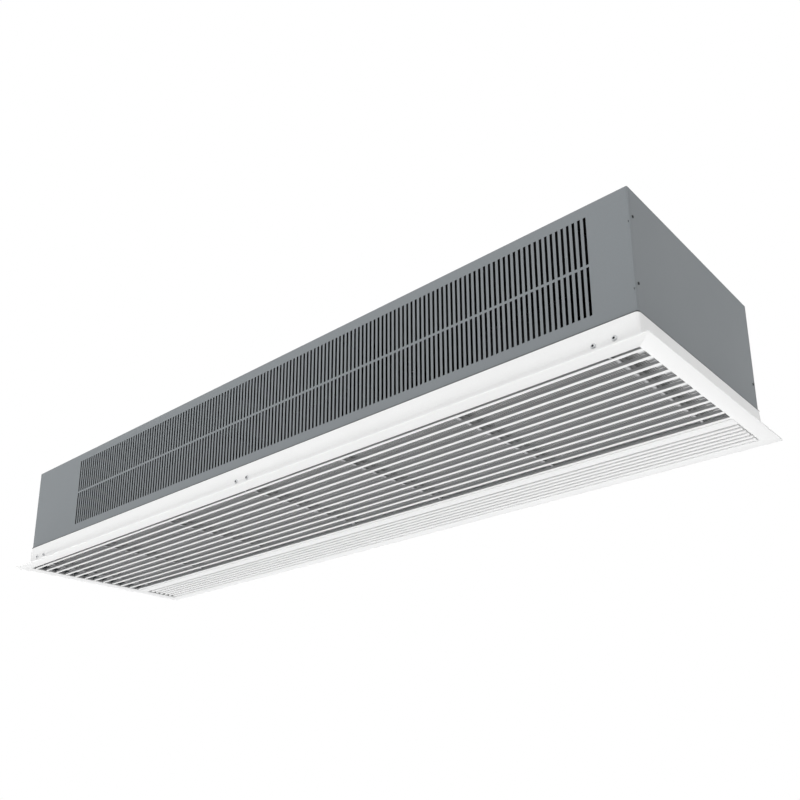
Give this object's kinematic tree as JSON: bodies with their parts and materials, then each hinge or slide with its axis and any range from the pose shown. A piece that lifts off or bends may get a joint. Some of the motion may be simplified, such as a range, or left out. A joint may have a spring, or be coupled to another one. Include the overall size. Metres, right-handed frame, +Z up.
{
  "type": "recessed air curtain",
  "caption": "Ceiling-recessed air curtain with slotted grey casing, white flange, hinged intake grille, fans and tilting outlet vanes.",
  "frame": {"origin": "middle of the flange's underside, under the middle of the whole object", "axes": "+X along the casing towards its plain end without the cable gland, +Y from the slotted face to the rear face, +Z up into the ceiling"},
  "size_m": [2.06, 0.572, 0.301],
  "materials": {
    "casing_grey": "grey sheet steel, satin with a fine spangle",
    "frame_white": "white powder coat, satin",
    "bar_white": "white powder coat, satin",
    "vane_white": "white powder coat, satin",
    "zinc": "galvanised sheet",
    "zinc_dark": "dark painted sheet",
    "filter_mesh": "woven grey mesh",
    "screw_steel": "zinc-plated steel",
    "screw_black": "blackened steel",
    "magnet_black": "ferrite magnet in a black case",
    "nylon": "natural nylon",
    "fan_black": "black coated sheet",
    "motor_grey": "grey lacquer",
    "board_green": "green circuit board with dark components",
    "gland_black": "black nylon"
  },
  "bodies": {
    "casing": {"front_panel": "casing_grey", "rear_panel": "casing_grey", "left_end_panel": "casing_grey", "right_end_panel": "casing_grey", "top_cover": "casing_grey", "corner_posts": "zinc_dark", "motor_bracket_1": "zinc_dark", "motor_bracket_2": "zinc_dark", "motor_bracket_3": "zinc_dark", "hinge_brackets": "zinc_dark", "casing_screws": "screw_black", "frame_front": "frame_white", "frame_rear": "frame_white", "frame_left": "frame_white", "frame_right": "frame_white", "divider": "frame_white", "collar_screws": "screw_steel", "hinge_pins": "screw_steel", "hanging_nuts": "screw_steel", "partition": "zinc", "duct_floor": "zinc", "fan_housing_1": "zinc", "fan_housing_2": "zinc", "fan_housing_3": "zinc", "top_rails": "zinc", "control_box": "zinc", "control_box_lid": "zinc", "magnet_catches": "magnet_black", "vane_strip_left": "nylon", "vane_strip_right": "nylon", "terminal_block": "nylon", "fan_motor_1": "motor_grey", "fan_motor_2": "motor_grey", "fan_motor_3": "motor_grey", "circuit_board": "board_green", "cable_gland": "gland_black"},
    "grille": {"grille_bars": "bar_white", "grille_rods": "bar_white", "filter_frame": "zinc_dark", "intake_filter": "filter_mesh"},
    "vane_1": {"vane_1": "vane_white"},
    "vane_2": {"vane_2": "vane_white"},
    "vane_3": {"vane_3": "vane_white"},
    "vane_4": {"vane_4": "vane_white"},
    "vane_5": {"vane_5": "vane_white"},
    "vane_6": {"vane_6": "vane_white"},
    "tie_bar": {"tie_bar": "zinc"},
    "fan_wheel_1": {"fan_wheel_1": "fan_black"},
    "fan_wheel_2": {"fan_wheel_2": "fan_black"},
    "fan_wheel_3": {"fan_wheel_3": "fan_black"}
  },
  "joints": [
    {"name": "grille_hinge", "type": "hinge", "parent": "casing", "child": "grille", "pos_m": [0, -0.245, 0.005], "axis": [-1, 0, 0], "range_deg": [0, 85]},
    {"name": "vane_tilt_1", "type": "hinge", "parent": "casing", "child": "vane_1", "pos_m": [0, 0.1644, 0.0125], "axis": [1, 0, 0], "range_deg": [-15, 15]},
    {"name": "vane_tilt_2", "type": "hinge", "parent": "casing", "child": "vane_2", "pos_m": [0, 0.1813, 0.0125], "axis": [1, 0, 0], "range_deg": [-15, 15]},
    {"name": "vane_tilt_3", "type": "hinge", "parent": "casing", "child": "vane_3", "pos_m": [0, 0.1982, 0.0125], "axis": [1, 0, 0], "range_deg": [-15, 15]},
    {"name": "vane_tilt_4", "type": "hinge", "parent": "casing", "child": "vane_4", "pos_m": [0, 0.2151, 0.0125], "axis": [1, 0, 0], "range_deg": [-15, 15]},
    {"name": "vane_tilt_5", "type": "hinge", "parent": "casing", "child": "vane_5", "pos_m": [0, 0.232, 0.0125], "axis": [1, 0, 0], "range_deg": [-15, 15]},
    {"name": "vane_tilt_6", "type": "hinge", "parent": "casing", "child": "vane_6", "pos_m": [0, 0.2489, 0.0125], "axis": [1, 0, 0], "range_deg": [-15, 15]},
    {"name": "tie_bar_pivot", "type": "hinge", "parent": "vane_1", "child": "tie_bar", "pos_m": [-0.9931, 0.1644, 0.0215], "axis": [1, 0, 0], "range_deg": [-15, 15]},
    {"name": "fan_spin_1", "type": "hinge", "parent": "casing", "child": "fan_wheel_1", "pos_m": [-0.519, -0.01, 0.1852], "axis": [1, 0, 0], "continuous": true},
    {"name": "fan_spin_2", "type": "hinge", "parent": "casing", "child": "fan_wheel_2", "pos_m": [0.081, -0.01, 0.1852], "axis": [1, 0, 0], "continuous": true},
    {"name": "fan_spin_3", "type": "hinge", "parent": "casing", "child": "fan_wheel_3", "pos_m": [0.681, -0.01, 0.1852], "axis": [1, 0, 0], "continuous": true}
  ],
  "couplings": [
    {"joint": "vane_tilt_2", "follows": "vane_tilt_1", "ratio": 1},
    {"joint": "vane_tilt_3", "follows": "vane_tilt_1", "ratio": 1},
    {"joint": "vane_tilt_4", "follows": "vane_tilt_1", "ratio": 1},
    {"joint": "vane_tilt_5", "follows": "vane_tilt_1", "ratio": 1},
    {"joint": "vane_tilt_6", "follows": "vane_tilt_1", "ratio": 1},
    {"joint": "tie_bar_pivot", "follows": "vane_tilt_1", "ratio": -1}
  ]
}
